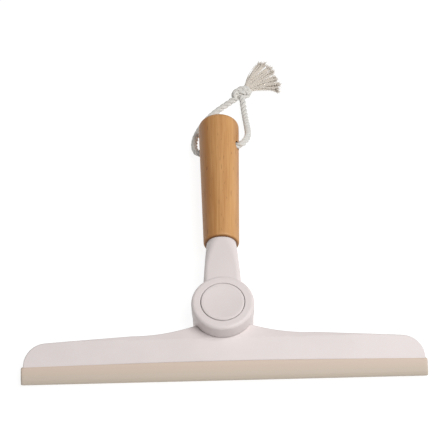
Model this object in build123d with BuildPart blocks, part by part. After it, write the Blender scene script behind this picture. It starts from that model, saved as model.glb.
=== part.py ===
from build123d import *
import os
from math import cos, pi, radians, sin, tan

os.makedirs("parts", exist_ok=True)

# Window cleaning squeegee lying on its back, in millimetres.
# X runs along the blade, +Y towards the end of the handle, +Z out of the button's face.
# The origin is under the middle of the squeegee, on the surface that it lies on.

# ---------------------------------------------------------------- driving dimensions
blade_length = 300.0        # rubber, end to end
blade_reach = 53.0          # swivel axis to the wiping edge
handle_reach = 181.0        # swivel axis to the far end of the handle
hub_radius = 23.5
hub_top_z = 29.6
button_radius = 16.3
button_gap = 0.4            # ring of air round the button
button_proud = 0.5          # the button stands out of the hub's face
wall = 2.2                  # moulded shells

pivot_y = (blade_reach - handle_reach) / 2
fit_gap = 0.05              # between faces that only rest on each other
slide_gap = 0.08            # radial clearance of a running fit

# head
rubber_overhang = 1.5       # the rubber stands out past each end of the shells
head_parting_z = 6.0
platform_radius = hub_radius - 0.5
platform_top_z = 16.6
front_edge_z = 11.8         # front face where the rubber begins
slope_start_y = -hub_radius  # the front face falls from here to the rubber
mouth_middle_y = -40.3      # arched lower edge of the shells
mouth_end_y = -42.4
corner_rx = 17.0
corner_ry = 16.5
wing_top_y = -24.4          # upper edge of a wing at its corner
flare_x = 68.0              # the upper edge begins to sweep up to the hub here
flare_y = -20.3
flare_hub_y = -12.4
flare_sagitta = 2.2
head_edge_round = 1.0
head_screw_inset = 28.5     # outermost screw to the end of the shells
head_screw_pitch = 42.5
head_screw_pairs = 3
boss_radius = 2.5

# rubber and the bar that grips it
carrier_end_gap = 4.3       # the bar stops this far inside the end walls
carrier_top_y = -31.0
head_screw_y = carrier_top_y + boss_radius + 0.1   # the bosses stand just behind the bar
carrier_low_z = wall + 0.2
carrier_high_z = front_edge_z - wall - 0.8
tongue_z = 5.9
tongue_thickness = 2.6
bead_radius = 2.3
bead_y = -35.0
lip_thickness = 2.2
lip_z = 4.2
rubber_root_low_z = 0.8
rubber_root_high_z = 11.6

# swivel
washer_thickness = 0.4
washer_inner = 12.0
washer_outer = platform_radius - 2.5
sleeve_radius = 9.95
sleeve_end_z = 10.8
land_inner = 15.2
land_outer = platform_radius - wall - 0.8
land_z = 11.6
clip_thickness = 1.2
clip_outer = 12.8
clip_groove_depth = 1.3
clip_mouth = 7.0
thrust_thickness = 0.6
thrust_outer = 14.0
friction_thickness = 1.0
lock_radius = platform_radius - wall - 0.6
lock_thickness = 2.0

# push rod, button and spring
rod_square = 5.0
rod_neck_square = 4.0
rod_radius = 2.4
rod_top_z = 27.0
button_top_z = hub_top_z + button_proud
button_skirt_z = 25.4
button_skin = 2.0
button_skirt = 1.6
button_rim = 2.2
dish_depth = 0.9
button_ceiling_z = button_top_z - dish_depth - button_skin
button_boss_radius = 4.4
button_boss_z = 24.6
lock_screw_radius = 1.5
lock_screw_head_radius = 3.2
lock_screw_head = 1.8
lock_screw_length = 8.0
spring_wire = 0.9
spring_radius = 7.5
spring_turns = 4.0

# neck
neck_start_y = 14.0
neck_hub_width = 29.2
neck_hub_top_z = 29.0
neck_hub_low_z = 9.0
neck_hub_round = 5.0
neck_end_y = 60.3
neck_shoulder_y = 45.0      # the corners begin to widen into a circle here
neck_end_radius = 11.45
neck_relief_y = 35.0        # the head turns under the neck as far out as this
neck_relief_end_y = 50.0
neck_plug_length = 3.8
neck_cavity_end_y = neck_end_y - neck_plug_length
hub_edge_round = 2.5

# small screws, of the hub's base and of the head's back
hub_boss_radius = 2.1
hub_screw_circle = hub_radius - wall - hub_boss_radius + 0.2   # the bosses bite into the wall
hub_screw_count = 3
hub_screw_turn = 30.0
small_screw_radius = 1.0
small_screw_head_radius = 1.6
small_screw_head = 1.2
small_screw_length = 6.5
hub_boss_low_z = 20.4

# handle
handle_low_radius = 13.8
handle_end_radius = 16.35
handle_straight_end = 9.0   # the last stretch keeps the end radius
handle_low_round = 2.6
handle_end_round = 5.0
handle_axis_z = handle_end_radius
spigot_radius = 8.0
spigot_length = 40.0
bore_spare = 1.0            # air past the end of the spigot
handle_screw_radius = 2.5
handle_screw_head_radius = 5.0
handle_screw_head = 3.2
handle_screw_longest = 70.0
handle_screw_hole_gap = 4.0     # the screw ends at least this far short of the cross hole
handle_washer_radius = 6.4
handle_washer_thickness = 1.0
cord_hole_inset = 27.0      # cross hole to the handle's far end
cord_hole_y = pivot_y + handle_reach - cord_hole_inset
cord_hole_radius = 3.75
handle_screw_room = handle_reach - cord_hole_inset - cord_hole_radius - neck_cavity_end_y
handle_screw_length = min(handle_screw_longest, handle_screw_room - handle_screw_hole_gap)
cord_hole_turn = 20.0       # the cross hole is turned about the handle, degrees
cord_diameter = 5.0

# ---------------------------------------------------------------- shared outlines


def at_pivot(height):
    """Level plane whose origin is on the swivel axis."""
    return Plane((0, pivot_y, height))


def across(y):
    """Upright plane facing +Y, its origin on the handle's axis: local X is -X and local Y is +Z."""
    return Plane(origin=(0, pivot_y + y, handle_axis_z), x_dir=(-1, 0, 0), z_dir=(0, 1, 0))


def section_plane(x):
    """Upright plane facing +X through the swivel axis: local X is +Y and local Y is +Z."""
    return Plane(origin=(x, pivot_y, 0), x_dir=(0, 1, 0), z_dir=(1, 0, 0))


half_body = blade_length / 2 - rubber_overhang
carrier_half = half_body - wall - carrier_end_gap
corner_x = half_body - corner_rx
corner_y = wing_top_y - corner_ry


def head_outline(inset, mouth_drop):
    """Plan of the head about the swivel axis, drawn in by inset, with the mouth's edge lowered."""
    side = half_body - inset
    neck_x = platform_radius * 0.9
    rx, ry = corner_rx - inset, corner_ry - inset
    end_y, middle_y = mouth_end_y - mouth_drop, mouth_middle_y - mouth_drop
    with BuildSketch(mode=Mode.PRIVATE) as plan:
        with BuildLine():
            ThreePointArc((-side, end_y), (0, middle_y), (side, end_y))
            for way in (1, -1):
                start = 0 if way > 0 else 180
                Line((way * side, end_y), (way * side, corner_y))
                EllipticalCenterArc((way * corner_x, corner_y), rx, ry, start_angle=start, arc_size=way * 90)
                Line((way * corner_x, wing_top_y - inset), (way * flare_x, flare_y - inset))
                SagittaArc(
                    (way * flare_x, flare_y - inset),
                    (way * neck_x, flare_hub_y - inset),
                    way * flare_sagitta,
                )
            Line((neck_x, flare_hub_y - inset), (-neck_x, flare_hub_y - inset))
        make_face()
        Circle(platform_radius - inset)
    return plan.sketch


head_plan = head_outline(0, 0)
hollow_plan = head_outline(wall, blade_reach / 4)
head_screw_xs = [half_body - head_screw_inset - head_screw_pitch * i for i in range(head_screw_pairs)]
head_screw_places = [(side * x, head_screw_y) for x in head_screw_xs for side in (-1, 1)]


def slope_wedge(drop):
    """Everything above the head's sloping front face, lowered by drop."""
    fall = (platform_top_z - front_edge_z) / (slope_start_y - mouth_middle_y)
    far_y = -2 * blade_reach
    with BuildPart(mode=Mode.PRIVATE) as wedge:
        with BuildSketch(section_plane(-blade_length)):
            with BuildLine():
                Polyline(
                    (slope_start_y, platform_top_z - drop),
                    (far_y, platform_top_z - drop + fall * (far_y - slope_start_y)),
                    (far_y, 2 * hub_top_z),
                    (slope_start_y, 2 * hub_top_z),
                    close=True,
                )
            make_face()
        extrude(amount=2 * blade_length)
    return wedge.part


above_slope = slope_wedge(0)
above_inner_slope = slope_wedge(wall)

# Hollow of the head: the plan drawn in by one wall, open along the mouth.
with BuildPart() as head_hollow:
    with BuildSketch(at_pivot(wall)):
        add(hollow_plan)
    extrude(amount=platform_top_z - 2 * wall)
    add(above_inner_slope, mode=Mode.SUBTRACT)

# ---------------------------------------------------------------- head
with BuildPart() as head_front_shell:
    with BuildSketch(at_pivot(head_parting_z)):
        add(head_plan)
    extrude(amount=platform_top_z - head_parting_z)
    add(above_slope, mode=Mode.SUBTRACT)
    add(head_hollow.part, mode=Mode.SUBTRACT)
    with BuildSketch(at_pivot(land_z)):
        Circle(land_outer)
        Circle(land_inner, mode=Mode.SUBTRACT)
    extrude(amount=platform_top_z - wall - land_z)
    with BuildSketch(at_pivot(head_parting_z)):
        with Locations(head_screw_places):
            Circle(boss_radius)
    extrude(amount=platform_top_z - wall - head_parting_z)
    with BuildSketch(at_pivot(head_parting_z)):
        with Locations(head_screw_places):
            Circle(small_screw_radius)
    extrude(amount=small_screw_length, mode=Mode.SUBTRACT)
    with BuildSketch(at_pivot(land_z)):
        Circle(sleeve_radius + slide_gap)
    extrude(amount=platform_top_z, mode=Mode.SUBTRACT)
head_front_shell.part.label = "head_front_shell"

with BuildPart() as head_rear_shell:
    with BuildSketch(at_pivot(0)):
        add(head_plan)
    extrude(amount=head_parting_z)
    fillet(head_rear_shell.faces().sort_by(Axis.Z)[0].edges(), head_edge_round)
    add(head_hollow.part, mode=Mode.SUBTRACT)
    with BuildSketch(at_pivot(wall)):
        with Locations(head_screw_places):
            Circle(boss_radius)
    extrude(amount=head_parting_z - wall)
    with Locations(*[(x, pivot_y + y, 0) for x, y in head_screw_places]):
        Cylinder(small_screw_head_radius + slide_gap, 2 * small_screw_head, mode=Mode.SUBTRACT)
        Cylinder(small_screw_radius + slide_gap, 2 * head_parting_z, mode=Mode.SUBTRACT)
head_rear_shell.part.label = "head_rear_shell"


def screw(head_radius, head_height, shank_radius, length):
    """Pan screw pointing up from its plane: the head fills head_height, the shank goes on from there."""
    with BuildPart(mode=Mode.PRIVATE) as fastener:
        with BuildSketch():
            Circle(head_radius)
        extrude(amount=head_height)
        with BuildSketch(Plane.XY.offset(head_height)):
            Circle(shank_radius)
        extrude(amount=length)
        with BuildSketch():
            Rectangle(head_radius * 1.3, head_radius * 0.3)
            Rectangle(head_radius * 0.3, head_radius * 1.3)
        extrude(amount=head_height / 2, mode=Mode.SUBTRACT)
    return fastener.part


small_screw = screw(small_screw_head_radius, small_screw_head, small_screw_radius, small_screw_length)
with BuildPart() as head_screws:
    with Locations(*[(x, pivot_y + y, 0) for x, y in head_screw_places]):
        add(small_screw)
head_screws.part.label = "head_screws"

# ---------------------------------------------------------------- rubber and its bar
with BuildPart() as squeegee_blade:
    with BuildSketch(section_plane(-blade_length / 2)):
        with BuildLine():
            Polyline(
                (-blade_reach, lip_z),
                (-blade_reach, lip_z + lip_thickness),
                (mouth_middle_y, rubber_root_high_z),
                (mouth_middle_y, rubber_root_low_z),
                close=True,
            )
        make_face()
    extrude(amount=blade_length)
    with BuildSketch(at_pivot(0)):
        with BuildLine():
            ThreePointArc(
                (-half_body, mouth_end_y - fit_gap),
                (0, mouth_middle_y - fit_gap),
                (half_body, mouth_end_y - fit_gap),
            )
            Polyline(
                (half_body, mouth_end_y - fit_gap),
                (blade_length, mouth_end_y - fit_gap),
                (blade_length, 0),
                (-blade_length, 0),
                (-blade_length, mouth_end_y - fit_gap),
                (-half_body, mouth_end_y - fit_gap),
            )
        make_face()
    extrude(amount=hub_top_z, mode=Mode.SUBTRACT)
    with BuildSketch(section_plane(-carrier_half)):
        with Locations(((mouth_end_y + bead_y) / 2, tongue_z)):
            Rectangle(bead_y - mouth_end_y + 2 * fit_gap, tongue_thickness)
        with Locations((bead_y, tongue_z)):
            Circle(bead_radius)
    extrude(amount=2 * carrier_half)
squeegee_blade.part.label = "squeegee_blade"

with BuildPart() as blade_carrier:
    with BuildSketch(section_plane(-carrier_half)):
        with Locations(((mouth_middle_y - wall + carrier_top_y) / 2, (carrier_low_z + carrier_high_z) / 2)):
            Rectangle(carrier_top_y - mouth_middle_y + wall, carrier_high_z - carrier_low_z)
        with Locations((bead_y + mouth_end_y - carrier_top_y, tongue_z)):
            Rectangle(2 * (carrier_top_y - mouth_end_y), tongue_thickness + 2 * fit_gap, mode=Mode.SUBTRACT)
        with Locations((bead_y, tongue_z)):
            Circle(bead_radius + fit_gap, mode=Mode.SUBTRACT)
    extrude(amount=2 * carrier_half)
    with BuildSketch(at_pivot(0)):
        with BuildLine():
            ThreePointArc((-half_body, mouth_end_y), (0, mouth_middle_y), (half_body, mouth_end_y))
            Polyline(
                (half_body, mouth_end_y),
                (half_body, -blade_reach),
                (-half_body, -blade_reach),
                (-half_body, mouth_end_y),
            )
        make_face()
    extrude(amount=hub_top_z, mode=Mode.SUBTRACT)
blade_carrier.part.label = "blade_carrier"

# ---------------------------------------------------------------- swivel: base, sleeve, washers and clip
hub_low_z = platform_top_z + washer_thickness + 2 * fit_gap
base_top_z = hub_low_z + wall
clip_top_z = platform_top_z - wall - thrust_thickness - 2 * fit_gap
hub_screw_angles = [radians(hub_screw_turn + 360 / hub_screw_count * i) for i in range(hub_screw_count)]
hub_screw_places = [(hub_screw_circle * cos(a), hub_screw_circle * sin(a)) for a in hub_screw_angles]

with BuildPart() as hub_base:
    with BuildSketch(at_pivot(hub_low_z)):
        Circle(hub_radius - wall - fit_gap)
    extrude(amount=wall)
    with BuildSketch(at_pivot(sleeve_end_z)):
        Circle(sleeve_radius)
    extrude(amount=hub_low_z - sleeve_end_z)
    with BuildSketch(at_pivot(clip_top_z - clip_thickness - 2 * fit_gap)):
        Circle(sleeve_radius)
        Circle(sleeve_radius - clip_groove_depth, mode=Mode.SUBTRACT)
    extrude(amount=clip_thickness + 2 * fit_gap, mode=Mode.SUBTRACT)
    with BuildSketch(at_pivot(sleeve_end_z)):
        Rectangle(rod_square + 2 * slide_gap, rod_square + 2 * slide_gap)
    extrude(amount=base_top_z - sleeve_end_z, mode=Mode.SUBTRACT)
    with BuildSketch(at_pivot(hub_low_z)):
        with Locations(hub_screw_places):
            Circle(small_screw_head_radius + fit_gap)
    extrude(amount=small_screw_head, mode=Mode.SUBTRACT)
    with BuildSketch(at_pivot(hub_low_z)):
        with Locations(hub_screw_places):
            Circle(small_screw_radius + fit_gap)
    extrude(amount=wall, mode=Mode.SUBTRACT)
hub_base.part.label = "hub_base"

with BuildPart() as swivel_washer:
    with BuildSketch(at_pivot(platform_top_z + fit_gap)):
        Circle(washer_outer)
        Circle(washer_inner, mode=Mode.SUBTRACT)
    extrude(amount=washer_thickness)
swivel_washer.part.label = "swivel_washer"

with BuildPart() as thrust_washer:
    with BuildSketch(at_pivot(clip_top_z)):
        Circle(thrust_outer)
        Circle(sleeve_radius + slide_gap, mode=Mode.SUBTRACT)
    extrude(amount=thrust_thickness)
thrust_washer.part.label = "thrust_washer"

with BuildPart() as retaining_clip:
    with BuildSketch(at_pivot(clip_top_z - clip_thickness - fit_gap)):
        Circle(clip_outer)
        Circle(sleeve_radius - clip_groove_depth + fit_gap, mode=Mode.SUBTRACT)
        with Locations((0, -clip_outer)):
            Rectangle(clip_mouth, 2 * clip_outer, mode=Mode.SUBTRACT)
    extrude(amount=clip_thickness)
retaining_clip.part.label = "retaining_clip"

# ---------------------------------------------------------------- button group
disc_top_z = land_z - fit_gap - friction_thickness
disc_low_z = disc_top_z - lock_thickness

with BuildPart() as push_rod:
    with BuildSketch(at_pivot(disc_top_z)):
        Rectangle(rod_square, rod_square)
    extrude(amount=base_top_z - disc_top_z)
    with BuildSketch(at_pivot(base_top_z)):
        Circle(rod_radius)
    extrude(amount=rod_top_z - base_top_z)
    with BuildSketch(at_pivot(disc_low_z)):
        Rectangle(rod_neck_square, rod_neck_square)
    extrude(amount=lock_thickness)
    with BuildSketch(at_pivot(disc_low_z)):
        Circle(lock_screw_radius)
    extrude(amount=lock_screw_length, mode=Mode.SUBTRACT)
push_rod.part.label = "push_rod"

with BuildPart() as lock_disc:
    with BuildSketch(at_pivot(disc_low_z)):
        Circle(lock_radius)
        Rectangle(rod_neck_square, rod_neck_square, mode=Mode.SUBTRACT)
    extrude(amount=lock_thickness)
lock_disc.part.label = "lock_disc"

with BuildPart() as friction_ring:
    with BuildSketch(at_pivot(disc_top_z)):
        Circle(land_outer - slide_gap)
        Circle(land_inner + slide_gap, mode=Mode.SUBTRACT)
    extrude(amount=friction_thickness)
friction_ring.part.label = "friction_ring"

lock_fastener = screw(lock_screw_head_radius, lock_screw_head, lock_screw_radius, lock_screw_length)
with BuildPart() as lock_screw:
    with Locations((0, pivot_y, disc_low_z - lock_screw_head)):
        add(lock_fastener)
lock_screw.part.label = "lock_screw"

dish_radius = button_radius - button_rim
dish_sphere = (dish_radius**2 + dish_depth**2) / (2 * dish_depth)
with BuildPart() as button_cap:
    with BuildSketch(section_plane(0)):
        with BuildLine():
            Line((0, button_boss_z), (button_boss_radius, button_boss_z))
            Line((button_boss_radius, button_boss_z), (button_boss_radius, button_ceiling_z))
            Polyline(
                (button_boss_radius, button_ceiling_z),
                (button_radius - button_skirt, button_ceiling_z),
                (button_radius - button_skirt, button_skirt_z),
                (button_radius, button_skirt_z),
                (button_radius, button_top_z - dish_depth / 2),
                (button_radius - dish_depth / 2, button_top_z),
                (dish_radius, button_top_z),
            )
            RadiusArc((dish_radius, button_top_z), (0, button_top_z - dish_depth), dish_sphere)
            Line((0, button_top_z - dish_depth), (0, button_boss_z))
        make_face()
    revolve(axis=Axis((0, pivot_y, 0), (0, 0, 1)))
    with BuildSketch(at_pivot(button_boss_z)):
        Circle(rod_radius)
    extrude(amount=rod_top_z - button_boss_z, mode=Mode.SUBTRACT)
button_cap.part.label = "button_cap"

spring_low_z = base_top_z + fit_gap + spring_wire / 2
spring_high_z = button_ceiling_z - fit_gap - spring_wire / 2
with BuildPart() as button_spring:
    with BuildLine() as coil:
        Helix(
            pitch=(spring_high_z - spring_low_z) / spring_turns,
            height=spring_high_z - spring_low_z,
            radius=spring_radius,
            center=(0, pivot_y, spring_low_z),
        )
    with BuildSketch(Plane(origin=coil.line @ 0, z_dir=coil.line % 0)):
        Circle(spring_wire / 2)
    sweep(path=coil.line, is_frenet=True)
button_spring.part.label = "button_spring"

# ---------------------------------------------------------------- neck and hub


def neck_core(inset, start_y, end_y):
    """Solid that blends the rounded box at the hub into the round end at the wood, inset all round."""
    hub_height = neck_hub_top_z - neck_hub_low_z
    hub_middle_z = (neck_hub_top_z + neck_hub_low_z) / 2
    with BuildPart(mode=Mode.PRIVATE) as core:
        for y in (start_y, neck_shoulder_y, end_y):
            part = (y - neck_start_y) / (neck_end_y - neck_start_y)
            width = neck_hub_width + (2 * neck_end_radius - neck_hub_width) * part - 2 * inset
            height = hub_height + (2 * neck_end_radius - hub_height) * part - 2 * inset
            widened = max(0, (y - neck_shoulder_y) / (neck_end_y - neck_shoulder_y))
            corner = neck_hub_round + (neck_end_radius - neck_hub_round) * widened - inset
            middle_z = (hub_middle_z - handle_axis_z) * (1 - part)
            with BuildSketch(across(y)):
                with Locations((0, middle_z)):
                    RectangleRounded(width, height, min(corner, width / 2.2, height / 2.2))
        loft()
    return core.part


neck_outside = neck_core(0, neck_start_y, neck_end_y)
neck_inside = neck_core(wall, hub_radius - wall, neck_cavity_end_y)

with BuildPart() as neck_relief:
    with BuildSketch(section_plane(-hub_radius * 2)):
        with BuildLine():
            Polyline(
                (-blade_reach, hub_low_z),
                (neck_relief_y, hub_low_z),
                (neck_relief_end_y, 0),
                (-blade_reach, 0),
                close=True,
            )
        make_face()
    extrude(amount=hub_radius * 4)

# The whole moulding, before it is parted along the level of the hub's underside.
with BuildPart() as neck_moulding:
    with BuildSketch(at_pivot(hub_low_z)):
        Circle(hub_radius)
    extrude(amount=hub_top_z - hub_low_z)
    fillet(neck_moulding.edges().group_by(Axis.Z)[-1], hub_edge_round)
    add(neck_outside)
    with BuildSketch(across(neck_end_y)):
        Circle(spigot_radius)
    extrude(amount=spigot_length)
    add(neck_relief.part, mode=Mode.SUBTRACT)
    add(neck_inside, mode=Mode.SUBTRACT)
    with BuildSketch(at_pivot(0)):
        Circle(hub_radius - wall)
    extrude(amount=hub_top_z - wall, mode=Mode.SUBTRACT)
    with BuildSketch(at_pivot(0)):
        Circle(button_radius + button_gap)
    extrude(amount=2 * hub_top_z, mode=Mode.SUBTRACT)
    with BuildSketch(at_pivot(hub_boss_low_z)):
        with Locations(hub_screw_places):
            Circle(hub_boss_radius)
    extrude(amount=hub_top_z - wall - hub_boss_low_z)
    with BuildSketch(at_pivot(hub_low_z)):
        with Locations(hub_screw_places):
            Circle(small_screw_radius)
    extrude(amount=small_screw_head + small_screw_length, mode=Mode.SUBTRACT)
    with BuildSketch(across(neck_cavity_end_y)):
        Circle(handle_screw_radius)
    extrude(amount=2 * spigot_length, mode=Mode.SUBTRACT)

with BuildPart() as neck_front_shell:
    add(neck_moulding.part)
    split(bisect_by=Plane.XY.offset(hub_low_z), keep=Keep.TOP)
neck_front_shell.part.label = "neck_front_shell"

with BuildPart() as neck_rear_shell:
    add(neck_moulding.part)
    split(bisect_by=Plane.XY.offset(hub_low_z), keep=Keep.BOTTOM)
neck_rear_shell.part.label = "neck_rear_shell"

with BuildPart() as hub_screws:
    with Locations(*[(x, pivot_y + y, hub_low_z) for x, y in hub_screw_places]):
        add(small_screw)
hub_screws.part.label = "hub_screws"

# ---------------------------------------------------------------- handle
taper_start_y = neck_end_y + fit_gap
with BuildPart() as wood_handle:
    with BuildSketch(Plane((0, pivot_y, handle_axis_z))):
        with BuildLine():
            Polyline(
                (0, taper_start_y),
                (handle_low_radius, taper_start_y),
                (handle_end_radius, handle_reach - handle_straight_end),
                (handle_end_radius, handle_reach),
                (0, handle_reach),
                close=True,
            )
        make_face()
    revolve(axis=Axis((0, 0, handle_axis_z), (0, 1, 0)))
    fillet(wood_handle.faces().sort_by(Axis.Y)[0].edges(), handle_low_round)
    fillet(wood_handle.faces().sort_by(Axis.Y)[-1].edges(), handle_end_round)
    with BuildSketch(across(neck_end_y)):
        Circle(spigot_radius + fit_gap)
    extrude(amount=spigot_length + bore_spare, mode=Mode.SUBTRACT)
    with BuildSketch(across(neck_cavity_end_y)):
        Circle(handle_screw_radius)
    extrude(amount=handle_screw_length, mode=Mode.SUBTRACT)
    hole_middle = (0, cord_hole_y, handle_axis_z)
    with Locations(Location(hole_middle, (0, 90 - cord_hole_turn, 0))):
        Cylinder(cord_hole_radius, 4 * handle_end_radius, mode=Mode.SUBTRACT)
wood_handle.part.label = "wood_handle"

with BuildPart() as handle_washer:
    with BuildSketch(across(neck_cavity_end_y)):
        Circle(handle_washer_radius)
        Circle(handle_screw_radius + slide_gap, mode=Mode.SUBTRACT)
    extrude(amount=-handle_washer_thickness)
handle_washer.part.label = "handle_washer"

handle_screw_y = neck_cavity_end_y - handle_washer_thickness - handle_screw_head
with BuildPart() as handle_screw:
    with BuildSketch(across(handle_screw_y)):
        Circle(handle_screw_head_radius)
    extrude(amount=handle_screw_head)
    with BuildSketch(across(handle_screw_y + handle_screw_head)):
        Circle(handle_screw_radius)
    extrude(amount=handle_washer_thickness + handle_screw_length)
    with BuildSketch(across(handle_screw_y)):
        RegularPolygon(handle_screw_head_radius * 0.5, 6)
    extrude(amount=handle_screw_head * 0.6, mode=Mode.SUBTRACT)
handle_screw.part.label = "handle_screw"

# ---------------------------------------------------------------- hanging cord
# Both legs start in the middle of the cross hole, leave it along its axis, come down to the
# surface and run round the end of the handle into the knot. The points are for a hole at
# route_hole_y, and the cord moves along with the hole.
route_hole_y = 90.0
cord_shift = cord_hole_y - route_hole_y
right_leg = [
    (0.0, 90.0, 16.35),
    (7.7, 89.9, 19.2),
    (15.4, 89.6, 21.9),
    (19.8, 92.3, 22.3),
    (22.4, 97.4, 20.6),
    (23.8, 103.5, 17.6),
    (23.9, 111.0, 13.6),
    (23.4, 119.5, 9.6),
    (22.7, 128.5, 6.2),
    (21.9, 137.5, 4.2),
    (21.0, 147.0, 3.8),
    (20.2, 155.5, 5.0),
]
left_leg = [
    (0.0, 90.0, 16.35),
    (-7.7, 90.1, 13.5),
    (-15.3, 90.7, 10.7),
    (-19.1, 94.4, 8.8),
    (-20.4, 100.4, 6.9),
    (-20.3, 107.0, 5.2),
    (-19.3, 113.5, 3.9),
    (-16.6, 121.0, 3.0),
    (-12.0, 129.5, 2.8),
    (-5.0, 138.5, 2.9),
    (5.4, 147.4, 3.5),
    (15.8, 154.2, 5.0),
]


def leg(points):
    """Round cord along straight runs joined by the largest arcs that the runs allow."""
    spots = [Vector(x, y + cord_shift, z) for x, y, z in points]
    runs = [b - a for a, b in zip(spots, spots[1:])]
    radii = [
        0.45 * min(before.length, after.length) / tan(radians(before.get_angle(after)) / 2)
        for before, after in zip(runs, runs[1:])
    ]
    with BuildPart(mode=Mode.PRIVATE) as tube:
        with BuildLine():
            route = FilletPolyline(*spots, radius=radii)
        with BuildSketch(Plane(origin=spots[0], z_dir=runs[0])):
            Circle(cord_diameter / 2)
        sweep(path=route)
    round_area = pi * cord_diameter**2 / 4
    print("radii", [round(radius, 1) for radius in radii], "length", round(route.length, 1))
    print("volume over section x length", round(tube.part.volume / (round_area * route.length), 4))
    return tube.part


right_tube = leg(right_leg)
with BuildPart() as hang_cord_right:
    add(right_tube)
hang_cord_right.part.label = "hang_cord_right"

left_tube = leg(left_leg)
with BuildPart() as hang_cord_left:
    add(left_tube)
hang_cord_left.part.label = "hang_cord_left"

# Knot: an egg of cord lying on the surface, its long axis along the tassel.
knot_centre = (19.6, 159.2 + cord_shift)
knot_length = 18.6
knot_thickness = 10.4
knot_turn = 20.0            # long axis from +X towards +Y, degrees
knot_floor_gap = 0.2
tassel_turn = 40.0
tassel_length = 36.0
tassel_root = 7.0
tassel_tip_width = 38.0
tassel_tip_thickness = 5.0
tassel_start = 5.0          # the strands leave the knot this far from its middle

knot_plane = Plane(
    origin=(knot_centre[0], knot_centre[1], knot_thickness / 2 + knot_floor_gap),
    x_dir=(cos(radians(knot_turn)), sin(radians(knot_turn)), 0),
)
with BuildPart() as cord_knot:
    with BuildSketch(knot_plane):
        with BuildLine():
            EllipticalCenterArc((0, 0), knot_length / 2, knot_thickness / 2, start_angle=0, arc_size=180)
            Line((-knot_length / 2, 0), (knot_length / 2, 0))
        make_face()
    revolve(axis=Axis(knot_plane.origin, knot_plane.x_dir))
cord_knot.part.label = "cord_knot"

tassel_way = Vector(cos(radians(tassel_turn)), sin(radians(tassel_turn)), 0)
tassel_side = Vector(-sin(radians(tassel_turn)), cos(radians(tassel_turn)), 0)


def tassel_section(distance, height):
    """Upright plane across the tassel, this far from the knot's middle."""
    place = Vector(knot_centre[0], knot_centre[1], height) + tassel_way * distance
    return Plane(origin=place, x_dir=tassel_side, z_dir=tassel_way)


with BuildPart() as cord_tassel:
    with BuildSketch(tassel_section(tassel_start, knot_thickness / 2)):
        RectangleRounded(tassel_root, tassel_root, tassel_root / 2.1)
    with BuildSketch(tassel_section(tassel_length, knot_floor_gap + tassel_tip_thickness / 2)):
        RectangleRounded(tassel_tip_width, tassel_tip_thickness, tassel_tip_thickness / 2.1)
    loft()
cord_tassel.part.label = "cord_tassel"

# ---------------------------------------------------------------- files
for piece in (
    head_front_shell, head_rear_shell, head_screws, squeegee_blade, blade_carrier,
    hub_base, swivel_washer, thrust_washer, retaining_clip,
    push_rod, lock_disc, friction_ring, lock_screw, button_cap, button_spring,
    neck_front_shell, neck_rear_shell, hub_screws,
    wood_handle, handle_washer, handle_screw,
    hang_cord_right, hang_cord_left, cord_knot, cord_tassel,
):
    export_step(piece.part, f"parts/{piece.part.label}.step")
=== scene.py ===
import math

import bpy
import numpy as np
from mathutils import Matrix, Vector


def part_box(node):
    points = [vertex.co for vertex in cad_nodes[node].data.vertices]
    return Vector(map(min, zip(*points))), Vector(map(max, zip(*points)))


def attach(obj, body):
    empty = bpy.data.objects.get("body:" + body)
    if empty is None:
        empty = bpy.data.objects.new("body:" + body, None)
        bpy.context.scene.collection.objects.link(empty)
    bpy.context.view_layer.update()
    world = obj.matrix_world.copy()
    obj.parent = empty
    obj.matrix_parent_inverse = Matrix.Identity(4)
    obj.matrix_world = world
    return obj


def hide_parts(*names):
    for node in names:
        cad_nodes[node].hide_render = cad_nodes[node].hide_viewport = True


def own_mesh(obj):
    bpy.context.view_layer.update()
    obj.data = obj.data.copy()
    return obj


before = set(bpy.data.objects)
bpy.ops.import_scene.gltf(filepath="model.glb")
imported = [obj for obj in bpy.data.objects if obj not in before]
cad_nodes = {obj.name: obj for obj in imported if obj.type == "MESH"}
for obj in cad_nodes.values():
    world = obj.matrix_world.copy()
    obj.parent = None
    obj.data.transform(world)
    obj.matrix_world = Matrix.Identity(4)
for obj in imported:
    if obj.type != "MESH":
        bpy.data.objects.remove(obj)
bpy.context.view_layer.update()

# ---------------------------------------------------------------- camera
# A long lens on the side of the wiping strip, looking down at the squeegee as it lies on its back.
camera_place = (0.0024, -0.666, 0.974)
camera_tilt = math.radians(35.47)
camera_roll = math.radians(-1.4)
camera_lens = 120.8
camera = bpy.data.objects.new("camera", bpy.data.cameras.new("camera"))
camera.data.lens = camera_lens
camera.matrix_world = (
    Matrix.Translation(camera_place)
    @ Matrix.Rotation(camera_tilt, 4, "X")
    @ Matrix.Rotation(camera_roll, 4, "Z")
)
bpy.context.scene.collection.objects.link(camera)
bpy.context.scene.camera = camera

# ---------------------------------------------------------------- hanging cord
# Natural cotton, three strands twisted into a 5 mm cord. It is threaded through the cross hole
# near the end of the handle, and both legs lie on the surface up to their knot.
cord_diameter = 0.005
cord_lay = 0.0135           # length in which a strand goes once round
strand_count = 3
strand_share = 0.56         # a strand's radius, as a share of the cord's
fullness = 1.08             # the strands' crowns stand a little past the round cord
cord_step = 0.0005          # between two rings of the cord's skin
cotton_light = (0.70, 0.68, 0.64)
cotton_deep = (0.50, 0.485, 0.45)
right_leg = [
    (0.0, 0.09, 0.01635),
    (0.0077, 0.0899, 0.0192),
    (0.0154, 0.0896, 0.0219),
    (0.0198, 0.0923, 0.0223),
    (0.0224, 0.0974, 0.0206),
    (0.0238, 0.1035, 0.0176),
    (0.0239, 0.111, 0.0136),
    (0.0234, 0.1195, 0.0096),
    (0.0227, 0.1285, 0.0062),
    (0.0219, 0.1375, 0.0042),
    (0.021, 0.147, 0.0038),
    (0.0202, 0.1555, 0.005),
]
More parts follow.
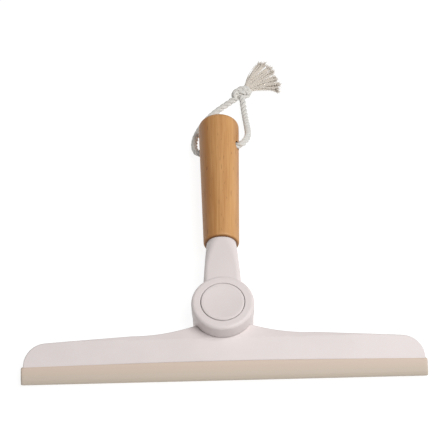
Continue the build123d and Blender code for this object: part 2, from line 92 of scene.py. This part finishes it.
left_leg = [
    (0.0, 0.09, 0.01635),
    (-0.0077, 0.0901, 0.0135),
    (-0.0153, 0.0907, 0.0107),
    (-0.0191, 0.0944, 0.0088),
    (-0.0204, 0.1004, 0.0069),
    (-0.0203, 0.107, 0.0052),
    (-0.0193, 0.1135, 0.0039),
    (-0.0166, 0.121, 0.003),
    (-0.012, 0.1295, 0.0028),
    (-0.005, 0.1385, 0.0029),
    (0.0054, 0.1474, 0.0035),
    (0.0158, 0.1542, 0.005),
]


class Wire:
    """A value, colour or vector on its way through a material; arithmetic on it adds Math nodes."""

    def __init__(self, finish, socket):
        self.finish, self.socket = finish, socket

    def maths(self, operation, *values):
        return self.finish.node("ShaderNodeMath", {"operation": operation}, values)

    def __add__(self, other):
        return self.maths("ADD", self, other)

    def __sub__(self, other):
        return self.maths("SUBTRACT", self, other)

    def __rsub__(self, other):
        return self.maths("SUBTRACT", other, self)

    def __mul__(self, other):
        return self.maths("MULTIPLY", self, other)

    __radd__, __rmul__ = __add__, __mul__

    def step(self, low, high):
        """0 below low, 1 above high and a smooth rise between; low may be the larger."""
        settings = {"interpolation_type": "SMOOTHSTEP"}
        return self.finish.node("ShaderNodeMapRange", settings, {0: self, 1: low, 2: high})

    def part(self, index):
        """One coordinate of a vector."""
        return self.finish.node("ShaderNodeSeparateXYZ", {}, [self], index)


class Finish:
    """One procedural material round a Principled shader."""

    def __init__(self, name, **constants):
        self.material = bpy.data.materials.new(name)
        self.material.use_nodes = True
        self.tree = self.material.node_tree
        self.shader = self.tree.nodes["Principled BSDF"]
        for socket, value in constants.items():
            self.shader.inputs[socket.replace("_", " ")].default_value = value

    def feed(self, socket, value):
        if isinstance(value, Wire):
            self.tree.links.new(value.socket, socket)
        else:
            socket.default_value = value

    def node(self, kind, settings, sockets=(), out=0):
        """Adds a node: its settings first, then the values or links of its sockets."""
        made = self.tree.nodes.new(kind)
        for name, value in settings.items():
            setattr(made, name, value)
        pairs = sockets.items() if isinstance(sockets, dict) else enumerate(sockets)
        for key, value in pairs:
            self.feed(made.inputs[key], value)
        return Wire(self, made.outputs[out])

    def place(self, scale):
        """Object coordinates, each stretched by its own scale, in cycles per metre."""
        spot = self.node("ShaderNodeTexCoord", {}, out=3)
        return self.node("ShaderNodeVectorMath", {"operation": "MULTIPLY"}, [spot, scale])

    def noise(self, vector, scale=1.0, detail=2.0, rough=0.5):
        sockets = {"Vector": vector, "Scale": scale, "Detail": detail, "Roughness": rough}
        return self.node("ShaderNodeTexNoise", {}, sockets)

    def mix(self, share, first, second):
        """Colour that goes from first to second with share."""
        settings = {"data_type": "RGBA", "clamp_factor": True}
        pair = [c if isinstance(c, Wire) else (*c, 1.0) for c in (first, second)]
        return self.node("ShaderNodeMix", settings, {0: share, 6: pair[0], 7: pair[1]}, 2)

    def bump(self, height, distance, strength=1.0, normal=None):
        sockets = {"Height": height, "Distance": distance, "Strength": strength}
        if normal is not None:
            sockets["Normal"] = normal
        self.feed(self.shader.inputs["Normal"], self.node("ShaderNodeBump", {}, sockets))

    def colour(self, wire):
        self.feed(self.shader.inputs["Base Color"], wire)

    def roughness(self, wire):
        self.feed(self.shader.inputs["Roughness"], wire)

    def put_on(self, *objects):
        for thing in objects:
            thing.data.materials.clear()
            thing.data.materials.append(self.material)


def new_piece(name, points, faces, face_uv=None):
    """A mesh object at the origin from its corner points and faces, turned right side out.

    The signed volume is the sum over triangles of a fan of each face of a . (b x c) / 6; where it
    is negative every face is reversed. face_uv holds one pair for each face corner in order.
    """
    mesh = bpy.data.meshes.new(name)
    mesh.from_pydata(points, [], [])
    sizes = np.concatenate([np.full(len(part), part.shape[1]) for part in faces])
    first = np.concatenate([part[:, :3] for part in faces])
    a, b, c = (points[first[:, i]] for i in range(3))
    other = [part[:, [0, 2, 3]] for part in faces if part.shape[1] == 4]
    volume = np.einsum("ij,ij->", a, np.cross(b, c))
    for part in other:
        a, b, c = (points[part[:, i]] for i in range(3))
        volume += np.einsum("ij,ij->", a, np.cross(b, c))
    way = -1 if volume < 0 else 1
    loops = np.concatenate([part[:, ::way].ravel() for part in faces])
    mesh.loops.add(len(loops))
    mesh.polygons.add(len(sizes))
    mesh.loops.foreach_set("vertex_index", loops.astype(np.int32))
    starts = np.concatenate([[0], np.cumsum(sizes)[:-1]])
    mesh.polygons.foreach_set("loop_start", starts.astype(np.int32))
    mesh.polygons.foreach_set("use_smooth", np.ones(len(sizes), bool))
    if face_uv is not None:
        layer = mesh.uv_layers.new(name="surface")
        flat = np.concatenate([part[:, ::way].reshape(-1, 2) for part in face_uv])
        layer.uv.foreach_set("vector", flat.astype(np.float32).ravel())
    mesh.update(calc_edges=True)
    mesh.validate()
    thing = bpy.data.objects.new(name, mesh)
    bpy.context.scene.collection.objects.link(thing)
    return thing


def smooth_line(points):
    """Points along the smooth NURBS line of a route, read from a curve with no bevel."""
    curve = bpy.data.curves.new("route", "CURVE")
    curve.dimensions = "3D"
    spline = curve.splines.new("NURBS")
    spline.points.add(len(points) - 1)
    spline.points.foreach_set("co", np.c_[points, np.ones(len(points))].ravel())
    spline.order_u = 3
    spline.use_endpoint_u = True
    spline.resolution_u = 24
    carrier = bpy.data.objects.new("route", curve)
    mesh = bpy.data.meshes.new_from_object(carrier)
    line = np.empty(len(mesh.vertices) * 3)
    mesh.vertices.foreach_get("co", line)
    bpy.data.meshes.remove(mesh)
    bpy.data.objects.remove(carrier)
    return line.reshape(-1, 3)


def travelled(lines):
    """Distance along each line to each of its points: the running sum of the steps."""
    steps = np.linalg.norm(np.diff(lines, axis=-2), axis=-1)
    return np.concatenate([np.zeros_like(steps[..., :1]), np.cumsum(steps, -1)], -1)


def evenly(line, step):
    """The same line with its points a step apart, each coordinate interpolated on the distance."""
    at = travelled(line)
    wanted = np.linspace(0, at[-1], int(at[-1] / step) + 1)
    return np.stack([np.interp(wanted, at, line[:, i]) for i in range(3)], -1)


def swept(name, lines, radii, turns, up=(0.0, 0.0, 1.0)):
    """Closed tubes along lines, as one piece.

    lines is tube x station x 3; radii and turns are tube x station x corner. A corner lies at the
    station plus radius times (cos turn times across + sin turn times over), where across is up x
    the line's direction and over is the direction x across. Fans to the end stations close both
    ends. The surface coordinate is the share round the tube and the distance along it in metres.
    """
    lines = np.asarray(lines, float)
    radii, turns = np.broadcast_arrays(radii, turns)
    ahead = np.gradient(lines, axis=1)
    ahead /= np.linalg.norm(ahead, axis=-1, keepdims=True)
    across = np.cross(np.asarray(up, float), ahead)
    across /= np.linalg.norm(across, axis=-1, keepdims=True)
    over = np.cross(ahead, across)
    tubes, stations, corners = radii.shape
    reach = np.cos(turns)[..., None] * across[:, :, None] + np.sin(turns)[..., None] * over[:, :, None]
    skin = lines[:, :, None] + radii[..., None] * reach
    points = np.concatenate([skin.reshape(-1, 3), lines[:, 0], lines[:, -1]])
    index = np.arange(skin[..., 0].size).reshape(tubes, stations, corners)
    beside = np.roll(index, -1, 2)
    quads = np.stack([index[:, :-1], beside[:, :-1], beside[:, 1:], index[:, 1:]], -1).reshape(-1, 4)
    tips = index.size + np.arange(2 * tubes).reshape(2, tubes, 1)
    head = np.stack([beside[:, 0], index[:, 0], np.broadcast_to(tips[0], (tubes, corners))], -1)
    tail = np.stack([index[:, -1], beside[:, -1], np.broadcast_to(tips[1], (tubes, corners))], -1)
    caps = np.concatenate([head.reshape(-1, 3), tail.reshape(-1, 3)])
    round_share = np.broadcast_to(np.arange(corners) / corners, (tubes, stations, corners))
    along = np.broadcast_to(travelled(lines)[:, :, None], (tubes, stations, corners))
    here = np.stack([round_share, along], -1)
    there = here + (1 / corners, 0)
    quad_uv = np.stack([here[:, :-1], there[:, :-1], there[:, 1:], here[:, 1:]], -2).reshape(-1, 4, 2)
    cap_uv = np.concatenate(
        [
            np.stack([there[:, i], here[:, i], here[:, i] + (0.5 / corners, 0)], -2).reshape(-1, 3, 2)
            for i in (0, -1)
        ]
    )
    return new_piece(name, points, [quads, caps], [quad_uv, cap_uv])


def twisted(lines, diameter, lay, corners=36):
    """Radii and turns of a cord's skin: the outline round strands that touch each other.

    With d the angle from the nearest strand's middle, the outline is r cos d + sqrt(s^2 - (r sin
    d)^2), r being the circle that the strands' middles lie on and s a strand's radius. The whole
    outline turns once in each length of lay.
    """
    strand = diameter / 2 * strand_share
    circle = diameter / 2 - strand
    turn = np.arange(corners) / corners * 2 * math.pi
    width = 2 * math.pi / strand_count
    off = (turn + width / 2) % width - width / 2
    radius = circle * np.cos(off) + np.sqrt(strand**2 - (circle * np.sin(off)) ** 2)
    twist = travelled(lines)[..., None] / lay * 2 * math.pi
    return np.broadcast_to(radius, (*twist.shape[:-1], corners)), turn + twist


def cotton_finish(name, deep, light):
    """Cotton whose fibres follow the twist: fine streaks along the surface coordinate, loose fuzz
    and patches in between."""
    cotton = Finish(name, Roughness=0.92, Sheen_Weight=0.3, Sheen_Roughness=0.5)
    around = cotton.node("ShaderNodeUVMap", {"uv_map": "surface"})
    streak = around.part(0) * 34.0 - around.part(1) * 5200.0
    fibre_spot = cotton.node("ShaderNodeCombineXYZ", {}, [streak, around.part(1) * 900.0])
    fibre = cotton.noise(fibre_spot, 1.0, 2.0, 0.6)
    fuzz = cotton.noise(cotton.place((2600.0, 2600.0, 2600.0)), 1.0, 3.0, 0.65)
    patch = cotton.noise(cotton.place((160.0, 160.0, 160.0)), 1.0, 2.0)
    shade = fibre * 0.55 + fuzz * 0.3 + patch * 0.4
    cotton.colour(cotton.mix(shade.step(0.28, 0.66), deep, light))
    cotton.bump(fibre * 0.7 + fuzz * 0.6, 0.0003, 0.6)
    return cotton


cotton = cotton_finish("cotton", cotton_deep, cotton_light)
cord_lines, cord_pieces = {}, {}
for side, route in (("right", right_leg), ("left", left_leg)):
    line = evenly(smooth_line(route), cord_step)
    cord_lines[side] = line
    radii, turns = twisted(line[None], cord_diameter * fullness, cord_lay)
    piece = swept("cord_" + side, line[None], radii, turns)
    cotton.put_on(piece)
    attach(piece, "handle")
    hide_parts("hang_cord_" + side)
    cord_pieces[side] = piece

# ---------------------------------------------------------------- knot
# Both legs are tied together in one tight overhand knot, so its turns are the same twisted cord,
# pressed a little flatter.
knot_middle = np.array([0.0196, 0.1586, 0.0056])
knot_turn = math.radians(20)
knot_cord = 0.0054
knot_step = 0.0003
knot_up = (0.23, 0.11, 0.97)  # slanted, to stay off the directions that the cord takes
knot_axis = np.array([math.cos(knot_turn), math.sin(knot_turn), 0.0])
knot_side = np.array([-math.sin(knot_turn), math.cos(knot_turn), 0.0])
# Along the knot's axis, across it and up, from its middle.
knot_route = np.array(
    [
        (-0.0055, -0.0022, -0.0008), (-0.0070, -0.0008, 0.0006), (-0.0048, 0.0014, 0.0018),
        (-0.0006, 0.0025, 0.0023), (0.0036, 0.0025, 0.0022), (0.0066, 0.0008, 0.0012),
        (0.0062, -0.0022, -0.0004), (0.0024, -0.0028, -0.0016), (-0.0020, -0.0016, -0.0022),
        (-0.0042, 0.0004, -0.0018), (-0.0026, 0.0000, 0.0006), (0.0004, -0.0004, 0.0020),
        (0.0032, -0.0010, 0.0018), (0.0048, -0.0022, 0.0004),
    ]
)
knot_frame = np.array([knot_axis, knot_side, (0.0, 0.0, 1.0)])
rounds = evenly(smooth_line(knot_middle + knot_route @ knot_frame), knot_step)[None]
radii, turns = twisted(rounds, knot_cord, cord_lay)
knot = swept("knot", rounds, radii, turns, up=knot_up)
cotton.put_on(knot)
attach(knot, "handle")
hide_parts("cord_knot")

# ---------------------------------------------------------------- tassel
# Past the knot the strands are unlaid into soft yarns, which fan out on the surface in a few
# tufts and get thin where they were cut.
frayed_light = (0.70, 0.635, 0.560)
frayed_deep = (0.53, 0.465, 0.385)
yarn_count = 42
tuft_count = 7              # the yarns gather in tufts towards their tips
yarn_radius = 0.00086
yarn_stations = 44
yarn_corners = 12
curl_length = 0.0150        # the yarns keep a wave from the strand that they came out of
wave_width, wave_height = 0.00035, 0.0003
yarn_lay = 0.0048           # length in which a yarn turns once
yarn_oval = 0.17            # a yarn is this share wider one way and narrower the other
tuft_spread = 0.32          # how far apart the tips in a tuft stay, 1 being an even fan
root_scatter, bend_scatter, tip_scatter = 0.0006, 0.0007, 0.0006
bend_low, bend_rise = 0.0040, 0.0030
tip_low, tip_rise = 0.0011, 0.0026
tip_cut = (-0.03, 0.16)     # least and most of its last stretch that a yarn is cut short by
taper_end, taper_share, taper_least = 1.02, 0.16, 0.12
tassel_root = (0.0215, 0.1615, 0.0050)
fan_share = np.array([0.0, 0.17, 0.33, 0.5, 0.67, 0.84, 1.0])
fan_bend = np.array(
    [
        (0.0258, 0.1780), (0.0284, 0.1785), (0.0325, 0.1772), (0.0360, 0.1748),
        (0.0378, 0.1706), (0.0388, 0.1668), (0.0420, 0.1660),
    ]
)
fan_tip = np.array(
    [
        (0.0350, 0.1942), (0.0402, 0.1968), (0.0452, 0.1914), (0.0484, 0.1848),
        (0.0512, 0.1752), (0.0532, 0.1676), (0.0502, 0.1588),
    ]
)
rng = np.random.default_rng(11)


def fan(points, share):
    """Points along the fan's edge, each coordinate interpolated on the share across the fan."""
    return np.stack([np.interp(share, fan_share, points[:, i]) for i in range(2)], -1)


order = (np.arange(yarn_count) + 0.5) / yarn_count
tuft = (np.floor(order * tuft_count) + 0.5) / tuft_count
gathered = tuft + (order - tuft) * tuft_spread
layer = rng.uniform(0, 1, (yarn_count, 1))
root = np.array(tassel_root) + rng.normal(0, root_scatter, (yarn_count, 3))
bend = fan(fan_bend, order) + rng.normal(0, bend_scatter, (yarn_count, 2))
bend = np.c_[bend, bend_low + bend_rise * layer]
tip = fan(fan_tip, gathered) + rng.normal(0, tip_scatter, (yarn_count, 2))
tip = np.c_[tip, tip_low + tip_rise * layer]
tip = tip + (bend - tip) * rng.uniform(*tip_cut, (yarn_count, 1))
gone = np.linspace(0, 1, yarn_stations)[None, :, None]
yarns = (1 - gone) ** 2 * root[:, None] + 2 * gone * (1 - gone) * bend[:, None] + gone**2 * tip[:, None]
crimp = rng.uniform(0, 2 * math.pi, (yarn_count, 1))
phase = travelled(yarns) / curl_length * 2 * math.pi + crimp
sway = wave_width * gone[..., 0] * np.sin(phase)
forward = (tip - bend) / np.linalg.norm(tip - bend, axis=-1, keepdims=True)
yarns[..., 0] -= sway * forward[:, 1:2]
yarns[..., 1] += sway * forward[:, 0:1]
yarns[..., 2] += wave_height * gone[..., 0] * np.cos(phase)
taper = np.clip((taper_end - gone[..., 0]) / taper_share, taper_least, 1) ** 0.5
corner = np.arange(yarn_corners) / yarn_corners * 2 * math.pi
twist = travelled(yarns)[..., None] / yarn_lay * 2 * math.pi
radii = (yarn_radius * taper)[..., None] * (1 + yarn_oval * np.cos(2 * corner))
tassel = swept("tassel", yarns, radii, corner + twist)
frayed_cotton = cotton_finish("frayed_cotton", frayed_deep, frayed_light)
frayed_cotton.put_on(tassel)
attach(tassel, "handle")
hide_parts("cord_tassel")

# ---------------------------------------------------------------- frayed ends
# Each yarn's cut end opens into a brush of single cotton threads, and two threads stand away from
# the tassel's side. Only the twist holds them in the yarns.
fibre_each = 14
fibre_stations = 7
fibre_corners = 4
fibre_start = -7            # the yarn's station that its brush grows from, counted from its tip
fibre_scatter = 0.00035
fibre_spread, fibre_curl = 0.26, 0.6
fibre_shortest, fibre_longest = 0.0024, 0.0058
fibre_lift = 0.0010
fibre_lowest = 0.0003
fibre_radius = 0.00019
fibre_taper = 0.6
stray_start = np.array([(0.0240, 0.1735, 0.0035), (0.0247, 0.1742, 0.0040)])
stray_end = np.array([(0.0334, 0.1944, 0.0016), (0.0340, 0.1950, 0.0024)])
stray_bow = 0.0013
fibre_count = yarn_count * fibre_each
base = np.repeat(yarns[:, fibre_start], fibre_each, 0)
base = base + rng.normal(0, fibre_scatter, (fibre_count, 3))
aim = np.repeat(np.arctan2(forward[:, 1], forward[:, 0]), fibre_each)
aim = aim + rng.normal(0, fibre_spread, fibre_count)
length = rng.uniform(fibre_shortest, fibre_longest, fibre_count)
curl = rng.normal(0, fibre_curl, fibre_count)
out = np.linspace(0, 1, fibre_stations)[None, :]
turned = aim[:, None] + curl[:, None] * out
hair_x = base[:, :1] + np.cumsum(np.cos(turned), 1) * length[:, None] / fibre_stations
hair_y = base[:, 1:2] + np.cumsum(np.sin(turned), 1) * length[:, None] / fibre_stations
lift = rng.normal(0, fibre_lift, fibre_count)[:, None]
hair_z = np.maximum(base[:, 2:] + lift * out, fibre_lowest)
hairs = np.stack([hair_x, hair_y, hair_z], -1)
stray = stray_start[:, None] + (stray_end - stray_start)[:, None] * out[..., None]
stray[..., 0] -= stray_bow * np.sin(out * math.pi)
hairs = np.concatenate([hairs, stray])
hair_radius = fibre_radius * (1 - fibre_taper * out)[..., None]
hair_radius = hair_radius * np.ones((len(hairs), 1, fibre_corners))
turns = np.broadcast_to(np.arange(fibre_corners) / fibre_corners * 2 * math.pi, hair_radius.shape)
frayed = swept("frayed_ends", hairs, hair_radius, turns)
frayed_cotton.put_on(frayed)
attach(frayed, "handle")

# ---------------------------------------------------------------- white mouldings
# Head, neck, hub and button are moulded in one warm off-white plastic with a fine satin texture.
# The head's two shells are screwed together, and the neck's two are held in the wooden handle.
white_light = (0.772, 0.702, 0.688)
white_deep = (0.732, 0.664, 0.650)
rim_radius = 0.0011         # moulded rims are a little round
white = Finish("satin_white", Specular_IOR_Level=0.42)
flow = white.noise(white.place((22.0, 22.0, 22.0)), 1.0, 3.0, 0.55)
spark = white.noise(white.place((3800.0, 3800.0, 3800.0)), 1.0, 2.0, 0.6)
white.colour(white.mix(flow.step(0.3, 0.7), white_deep, white_light))
white.roughness(flow * 0.10 + spark * 0.10 + 0.36)
white.bump(spark, 0.00006, 0.35, white.node("ShaderNodeBevel", {"samples": 6}, [rim_radius]))
white.put_on(
    *(
        cad_nodes[n]
        for n in (
            "head_front_shell", "head_rear_shell", "neck_front_shell", "neck_rear_shell",
            "button_cap",
        )
    )
)

# ---------------------------------------------------------------- rubber strip
# Moulded beige rubber, held by a bead inside the head: thick at its root, with a small step
# before the thin wiping lip.
rubber_light = (0.690, 0.560, 0.470)
rubber_deep = (0.630, 0.500, 0.410)
rubber_lip_shade = (0.560, 0.485, 0.400)  # painted shade: greyer and darker at the lip
rubber_low, rubber_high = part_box("squeegee_blade")
strip_half = rubber_high.x
lip_y = rubber_low.y
mouth_middle_y, mouth_end_y = -0.10435, -0.10645
strip_stations = 241
strip_end_round = 0.0006
strip_end_share = 0.93      # the profile's size on the very end
# Share of the way from the mouth to the lip, and height, going out over the top and back below.
strip_profile = np.array(
    [
        (-0.10, 0.0112), (0.0, 0.0116), (0.12, 0.01135), (0.35, 0.0103), (0.60, 0.0091),
        (0.80, 0.0080), (0.86, 0.00765), (0.89, 0.00725), (0.93, 0.0069), (0.97, 0.0064),
        (0.992, 0.0058), (1.0, 0.0050), (0.99, 0.0045), (0.96, 0.0042), (0.5, 0.0026),
        (0.0, 0.0009), (-0.10, 0.0011),
    ]
)


def strip_skin():
    """The profile carried from end to end: y goes from the arched mouth to the straight lip by the
    profile's share, the arch being a parabola, and the last station at each end is drawn in."""
    x = np.linspace(-1, 1, strip_stations)
    ends = np.clip((1 - np.abs(x)) * strip_half / strip_end_round, 0, 1)
    mouth = mouth_middle_y + (mouth_end_y - mouth_middle_y) * x**2
    middle = strip_profile.mean(0)
    share = strip_end_share + (1 - strip_end_share) * ends
    drawn = middle + (strip_profile - middle) * share[:, None, None]
    y = mouth[:, None] + (lip_y - mouth[:, None]) * drawn[..., 0]
    return np.stack([np.broadcast_to(x[:, None] * strip_half, y.shape), y, drawn[..., 1]], -1)


def skinned(name, skin):
    """One closed tube from rings of points, station x corner x 3, with a fan to each end's middle."""
    stations, corners = skin.shape[:2]
    index = np.arange(stations * corners).reshape(stations, corners)
    beside = np.roll(index, -1, 1)
    quads = np.stack([index[:-1], beside[:-1], beside[1:], index[1:]], -1).reshape(-1, 4)
    points = np.concatenate([skin.reshape(-1, 3), skin[[0, -1]].mean(1)])
    tip = np.full(corners, index.size)
    head = np.stack([beside[0], index[0], tip], -1)
    tail = np.stack([index[-1], beside[-1], tip + 1], -1)
    return new_piece(name, points, [quads, np.concatenate([head, tail])])


rubber = Finish("beige_rubber", Specular_IOR_Level=0.35)
streak = rubber.noise(rubber.place((9.0, 420.0, 420.0)), 1.0, 2.0, 0.5)
dust = rubber.noise(rubber.place((1500.0, 1500.0, 1500.0)), 1.0, 3.0, 0.6)
lip_shade_share = rubber.node("ShaderNodeTexCoord", {}, out=3).part(1).step(mouth_middle_y, lip_y)
plain = rubber.mix(streak * 0.6 + dust * 0.4, rubber_deep, rubber_light)
# painted shade: the colour darkens and greys from the mouth down to the lip
rubber.colour(rubber.mix(lip_shade_share * 0.9, plain, rubber_lip_shade))
rubber.roughness(dust * 0.14 + 0.48)
rubber.bump(streak * 0.5 + dust * 0.5, 0.00012, 0.4)
strip = skinned("wiping_strip", strip_skin())
rubber.put_on(strip)
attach(strip, "head")
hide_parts("squeegee_blade")

# ---------------------------------------------------------------- wooden handle
# Turned from a pale brown hardwood with short dark pores, and oiled; a darker, redder band of painted
# shade runs down the side away from the lamp. The end grain drinks more oil and is darker, and the end
# at the neck is darkened further with painted shade.
wood_light = (0.640, 0.350, 0.143)
wood_deep = (0.480, 0.228, 0.078)
wood_shade_colour = (0.400, 0.160, 0.045)   # painted shade on the side away from the lamp, darker and redder
wood_pore = (0.190, 0.080, 0.025)
shade_band_right = (0.0, -0.009)         # where the band fades out and where it is full, across
shade_band_left = (-0.0175, -0.010)
wood = Finish("oiled_wood", Specular_IOR_Level=0.28)
board = wood.noise(wood.place((95.0, 5.0, 95.0)), 1.0, 3.0, 0.55)
thread = wood.noise(wood.place((900.0, 22.0, 900.0)), 1.0, 3.0, 0.6)
pores = wood.noise(wood.place((1100.0, 120.0, 1100.0)), 1.0, 1.0, 0.4)
grown = wood.mix((board * 0.62 + thread * 0.38).step(0.34, 0.66), wood_deep, wood_light)
across = wood.node("ShaderNodeTexCoord", {}, out=3).part(0) + board * 0.006
# painted shade: a darker, redder band down the handle's left side, away from the lamp
shade_band = across.step(*shade_band_right) * across.step(*shade_band_left)
shade_banded = wood.mix(shade_band * 0.55, grown, wood_shade_colour)
worn = wood.mix(pores.step(0.68, 0.76) * 0.55, shade_banded, wood_pore)
lengthwise = wood.node("ShaderNodeTexCoord", {}, out=1).part(1)
# darker end grain plus painted shade: the end facing the neck darkens almost to the pore colour, the
# far end a little
end_grain_and_shade = (0.0 - lengthwise).step(0.45, 0.95) * 0.95 + lengthwise.step(0.2, 1.0) * 0.25
wood.colour(wood.mix(end_grain_and_shade, worn, wood_pore))
wood.roughness(thread * 0.2 + 0.36)
wood.bump(thread * 0.5 - pores.step(0.68, 0.76), 0.00018, 0.5)
wood.put_on(cad_nodes["wood_handle"])

# ---------------------------------------------------------------- screws, rod and washers
# Turned and stamped steel, plated with zinc. The screws hold the head's back, the hub's floor, the
# lock disc and the wooden handle, and the clip keeps the head on its sleeve.
steel = Finish("zinc_steel", Metallic=1.0)
swirl = steel.noise(steel.place((700.0, 700.0, 700.0)), 1.0, 2.0, 0.5)
steel.colour(steel.mix(swirl, (0.52, 0.52, 0.53), (0.68, 0.68, 0.66)))
steel.roughness(swirl * 0.2 + 0.22)
steel.put_on(
    *(
        cad_nodes[n]
        for n in (
            "head_screws", "hub_screws", "lock_screw", "handle_screw",
            "handle_washer", "push_rod", "retaining_clip",
        )
    )
)

# ---------------------------------------------------------------- inner mouldings
# The hub's floor with its sleeve, the bar that grips the rubber, and the lock disc: plain
# grey-white plastic, moulded and screwed in.
inner = Finish("inner_moulding")
cloud = inner.noise(inner.place((300.0, 300.0, 300.0)), 1.0, 3.0, 0.6)
inner.colour(inner.mix(cloud, (0.56, 0.53, 0.51), (0.64, 0.61, 0.59)))
inner.roughness(cloud * 0.2 + 0.4)
inner.put_on(*(cad_nodes[n] for n in ("hub_base", "blade_carrier", "lock_disc")))

# ---------------------------------------------------------------- slip rings
# Two thin rings of smooth milky nylon, which lie loose between the faces that turn on each other.
slip = Finish("slip_nylon")
milk = slip.noise(slip.place((500.0, 500.0, 500.0)), 1.0, 2.0, 0.5)
slip.colour(slip.mix(milk, (0.76, 0.75, 0.71), (0.82, 0.81, 0.78)))
slip.roughness(milk * 0.15 + 0.28)
slip.put_on(cad_nodes["swivel_washer"], cad_nodes["thrust_washer"])

# ---------------------------------------------------------------- friction ring
# Black rubber, on the lock disc. The spring presses it against the head, which then stays at its
# angle until the button is pushed.
black = Finish("friction_rubber")
soot = black.noise(black.place((1200.0, 1200.0, 1200.0)), 1.0, 3.0, 0.6)
black.colour(black.mix(soot, (0.018, 0.018, 0.018), (0.040, 0.038, 0.036)))
black.roughness(soot * 0.2 + 0.65)
black.put_on(cad_nodes["friction_ring"])

# ---------------------------------------------------------------- button spring
# Four open turns of round steel spring wire between the hub's floor and the button. It is wound
# on a rod, stands loose round the push rod, and shortens as the button goes down.
spring_low, spring_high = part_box("button_spring")
spring_wire = 0.0009
spring_turns = 4.0
spring_stations = 320
spring_corners = 12


def spring_line():
    """A helix: the angle and the height both grow evenly, on a radius inside the node's box."""
    share = np.linspace(0, 1, spring_stations)
    middle = (spring_low + spring_high) / 2
    radius = (spring_high.x - spring_low.x - spring_wire) / 2
    angle = share * spring_turns * 2 * math.pi
    rise = spring_low.z + spring_wire / 2 + share * (spring_high.z - spring_low.z - spring_wire)
    return np.stack([middle.x + radius * np.cos(angle), middle.y + radius * np.sin(angle), rise], -1)


wire_turns = np.arange(spring_corners) / spring_corners * 2 * math.pi
wire_turns = np.broadcast_to(wire_turns, (1, spring_stations, spring_corners))
wire_radii = np.full(wire_turns.shape, spring_wire / 2)
spring = swept("coil_spring", spring_line()[None], wire_radii, wire_turns)
steel.put_on(spring)
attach(spring, "handle")
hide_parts("button_spring")
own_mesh(spring)

# ---------------------------------------------------------------- floor and light
# A plain pale surface lit through from below, faint light from all round, and one large soft lamp
# above on the right.
floor_half = 60.0
floor_glow = 0.9
sky_strength = 0.17
lamp_place = (1.0, -0.3, 2.16)
lamp_size = 1.9
lamp_energy = 57.0
floor_points = np.array([(x, y, 0.0) for y in (-1, 1) for x in (-1, 1)]) * floor_half
floor = new_piece("floor", floor_points, [np.array([[0, 1, 3, 2]])])
paper = Finish("pale_paper", Roughness=0.9)
weave = paper.noise(paper.place((2.0, 2.0, 2.0)), 1.0, 1.0)
paper.colour(paper.mix(weave, (0.16, 0.16, 0.16), (0.17, 0.17, 0.17)))
paper.shader.inputs["Emission Color"].default_value = (1.0, 1.0, 1.0, 1.0)
paper.shader.inputs["Emission Strength"].default_value = floor_glow
paper.put_on(floor)

world = bpy.data.worlds.new("studio")
world.use_nodes = True
sky = world.node_tree.nodes["Background"]
sky.inputs["Color"].default_value = (1.0, 1.0, 1.0, 1.0)
sky.inputs["Strength"].default_value = sky_strength
bpy.context.scene.world = world

lamp = bpy.data.objects.new("lamp", bpy.data.lights.new("lamp", "AREA"))
lamp.data.shape = "DISK"
lamp.data.size = lamp_size
lamp.data.energy = lamp_energy
lamp.matrix_world = Matrix.Translation(lamp_place) @ Matrix(
    (-Matrix.Translation(lamp_place).to_translation()).to_track_quat("-Z", "Y").to_matrix().to_4x4()
)
bpy.context.scene.collection.objects.link(lamp)

# ---------------------------------------------------------------- view transform
bpy.context.scene.view_settings.view_transform = "Standard"
